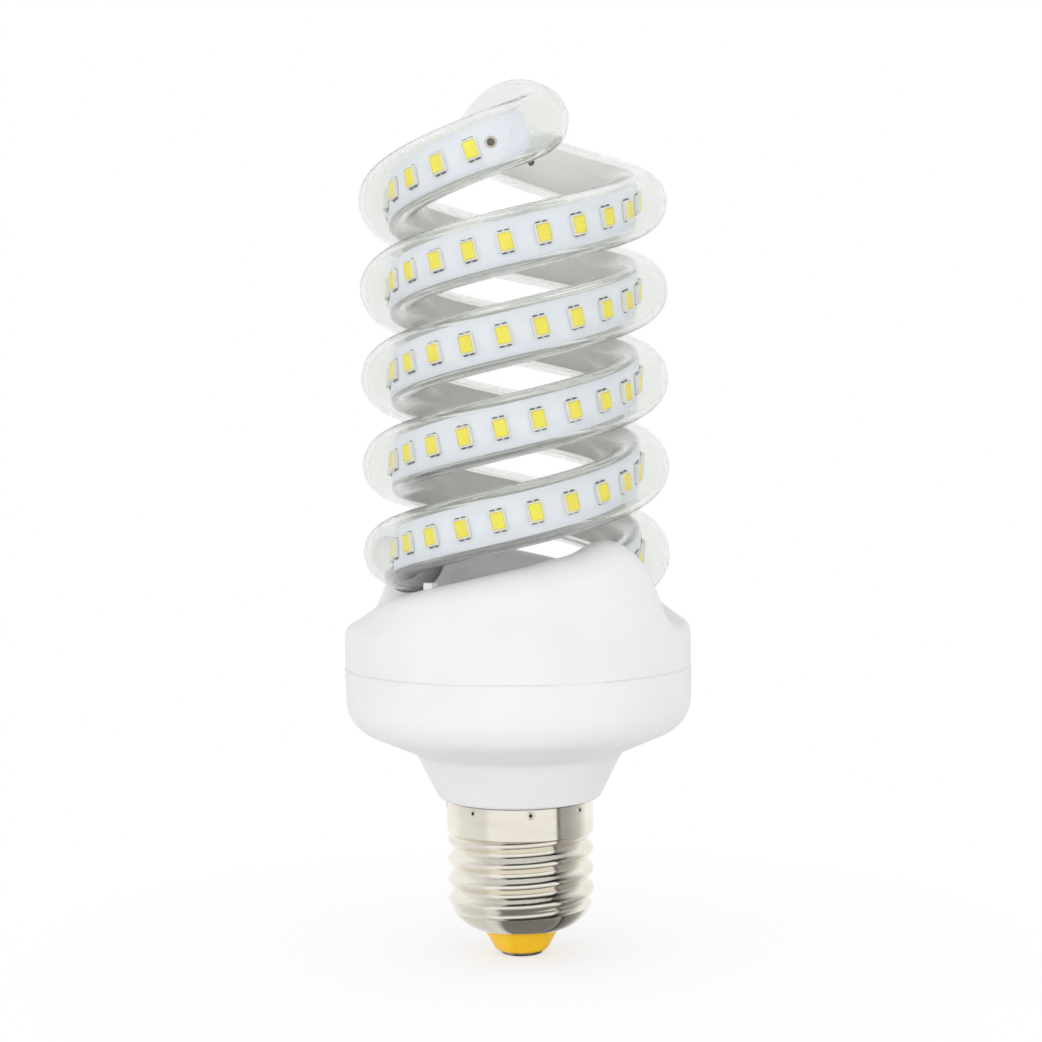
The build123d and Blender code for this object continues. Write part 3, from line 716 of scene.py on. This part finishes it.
# Painted shadow round the lamp's foot, by bearing, as the floor shows it in mirrors
painted_foot_shade_stops = [(-60, 0.15), (-35, 0.25), (-25, 0.8), (45, 0.8), (75, 0.5), (110, 0.15)]
overhead_low, overhead_high = 0.15, 0.62


def seen_white(tree):
    """1 for rays that show the background, straight or in metal and glass; 0 for light on the lamp."""
    path = add_step(tree, "ShaderNodeLightPath")
    straight = reckon(tree, "MAXIMUM", path.outputs["Is Camera Ray"], path.outputs["Is Glossy Ray"])
    return reckon(tree, "MAXIMUM", straight, path.outputs["Is Transmission Ray"])


def by_bearing(tree, way, stops):
    """A grey value that changes with the bearing from the front, as (degrees, value) stops."""
    axes = add_step(tree, "ShaderNodeSeparateXYZ", [("Vector", way)])
    ahead = reckon(tree, "MULTIPLY", axes.outputs["Y"], -1.0)
    bearing = reckon(tree, "ARCTAN2", axes.outputs["X"], ahead)
    share = between(tree, bearing, 0.0, 1.0, -math.pi, math.pi)
    return tones(tree, share, [(0.5 + degrees / full_turn, (grey, grey, grey)) for degrees, grey in stops])


def mirrored_walls(tree, way):
    """What the metal mirrors round the lamp: pale walls, with a dark stand on the right."""
    return by_bearing(tree, way, wall_stops)


def mirrored_front(tree, way):
    """How far the front of the studio, above the floor, is dimmed in a mirror: more so overhead."""
    height = add_step(tree, "ShaderNodeSeparateXYZ", [("Vector", way)]).outputs["Z"]
    overhead = between(tree, height, 0.0, 1.0, overhead_low, overhead_high)
    ceiling = by_bearing(tree, way, ceiling_stops)
    return reckon(tree, "SUBTRACT", 1.0, reckon(tree, "MULTIPLY", overhead, ceiling))


def mirror_share(tree):
    """1 for rays thrown back by metal or glass, 0 for those that pass through it."""
    path = add_step(tree, "ShaderNodeLightPath")
    unbent = reckon(tree, "SUBTRACT", 1.0, path.outputs["Is Transmission Ray"])
    return reckon(tree, "MULTIPLY", path.outputs["Is Glossy Ray"], unbent)


def blended(tree, share, plain, other):
    """A value that goes from plain to other."""
    mix = add_step(tree, "ShaderNodeMix", data_type="FLOAT")
    for socket, source in zip((0, 2, 3), (share, plain, other)):
        if isinstance(source, bpy.types.NodeSocket):
            tree.links.new(source, mix.inputs[socket])
        else:
            mix.inputs[socket].default_value = source
    return mix.outputs[0]


def studio_world(ambient):
    world = bpy.data.worlds.new("studio")
    world.use_nodes = True
    scene.world = world
    tree = world.node_tree
    light = tree.nodes["Background"]
    light.inputs["Color"].default_value = (1.0, 1.0, 1.0, 1.0)
    plain = between(tree, seen_white(tree), ambient, 1.0, 0.0, 1.0)
    way = add_step(tree, "ShaderNodeTexCoord").outputs["Generated"]
    dimmed = reckon(tree, "MULTIPLY", mirrored_walls(tree, way), mirrored_front(tree, way))
    tree.links.new(blended(tree, mirror_share(tree), plain, dimmed), light.inputs["Strength"])


def pale_floor(half_width, shadow_reach):
    """Floor that keeps the lamp's shadow near it and runs out to white; in mirrors it shows a painted shadow
    round the lamp's foot.
    """
    floor_tone = (0.92, 0.92, 0.92, 1.0)
    floor_rough = 0.9
    shadow_fade = 0.6
    cap_shade_near, cap_shade_far = 15 * mm, 36 * mm
    shape = bmesh.new()
    bmesh.ops.create_grid(shape, x_segments=1, y_segments=1, size=half_width)
    mesh = bpy.data.meshes.new("floor")
    shape.to_mesh(mesh)
    shape.free()
    mesh.transform(Matrix.Translation((0.0, 0.0, cad_low[2])))
    floor = bpy.data.objects.new("floor", mesh)
    scene.collection.objects.link(floor)
    finish, tree, shader = start_finish("floor_white")
    shader.inputs["Base Color"].default_value = floor_tone
    shader.inputs["Roughness"].default_value = floor_rough
    shader.inputs["Specular IOR Level"].default_value = 0.0
    place = add_step(tree, "ShaderNodeTexCoord")
    away = add_step(tree, "ShaderNodeVectorMath", [(0, place.outputs["Object"])], operation="LENGTH")
    fade = between(tree, away.outputs["Value"], shadow_fade, 1.0, 0.0, shadow_reach)
    shown = reckon(tree, "MAXIMUM", fade, mirror_share(tree))
    share = reckon(tree, "MULTIPLY", shown, seen_white(tree))
    # Painted shadow: in mirrors the floor darkens round the lamp's foot, most under the cap
    under_cap = between(tree, away.outputs["Value"], 1.0, 0.0, cap_shade_near, cap_shade_far)
    painted_foot_shade = by_bearing(tree, place.outputs["Object"], painted_foot_shade_stops)
    lit_foot = reckon(tree, "SUBTRACT", 1.0, reckon(tree, "MULTIPLY", under_cap, painted_foot_shade))
    mirrored = reckon(tree, "MULTIPLY", mirrored_walls(tree, place.outputs["Object"]), lit_foot)
    glow = blended(tree, mirror_share(tree), 1.0, mirrored)
    white = add_step(tree, "ShaderNodeEmission", [("Color", (1.0, 1.0, 1.0, 1.0)), ("Strength", glow)])
    mixed = add_step(
        tree, "ShaderNodeMixShader", [(0, share), (1, shader.outputs["BSDF"]), (2, white.outputs["Emission"])]
    )
    tree.links.new(mixed.outputs["Shader"], tree.nodes["Material Output"].inputs["Surface"])
    mesh.materials.append(finish)


def soft_lamp(name, place, aim, width, height, power):
    """A large soft lamp, which doesn't show in the metal or the glass."""
    lamp = bpy.data.lights.new(name, "AREA")
    lamp.shape = "RECTANGLE"
    lamp.size = width
    lamp.size_y = height
    lamp.energy = power
    lamp.cycles.use_multiple_importance_sampling = False
    holder = bpy.data.objects.new(name, lamp)
    holder.location = place
    holder.rotation_euler = (Vector(aim) - Vector(place)).to_track_quat("-Z", "Y").to_euler()
    holder.visible_camera = False
    holder.visible_transmission = False
    holder.visible_glossy = False
    scene.collection.objects.link(holder)


def photo_camera():
    """Camera fitted to the photograph: 1042 pixels wide, focal length in pixels."""
    photo_width = 1042
    focal_pixels = 2432.1
    distance = 433.4 * mm
    height = 105.5 * mm
    pitch = math.radians(3.641)
    roll = math.radians(-0.701)
    yaw = math.radians(-0.105)
    camera = bpy.data.cameras.new("photo_camera")
    camera.sensor_width = 36.0
    camera.lens = focal_pixels / photo_width * camera.sensor_width
    camera.clip_start = 0.01
    camera.clip_end = 20.0
    holder = bpy.data.objects.new("photo_camera", camera)
    level = Matrix.Rotation(math.radians(90.0) - pitch, 4, "X")
    turn = Matrix.Rotation(yaw, 4, "Z") @ level @ Matrix.Rotation(roll, 4, "Z")
    holder.matrix_world = Matrix.Translation((0.0, -distance, height)) @ turn
    scene.collection.objects.link(holder)
    scene.camera = holder


studio_world(ambient=0.93)
pale_floor(half_width=3.0, shadow_reach=0.1)
middle = (0.0, 0.0, 0.08)
soft_lamp("front_softbox", (0.03, -0.7, 0.26), middle, width=1.45, height=0.7, power=2.3)
soft_lamp("left_softbox", (-0.66, -0.3, 0.16), middle, width=0.4, height=0.5, power=0.75)
soft_lamp("right_softbox", (0.66, -0.3, 0.16), middle, width=0.4, height=0.5, power=0.35)
photo_camera()
scene.view_settings.view_transform = "Standard"
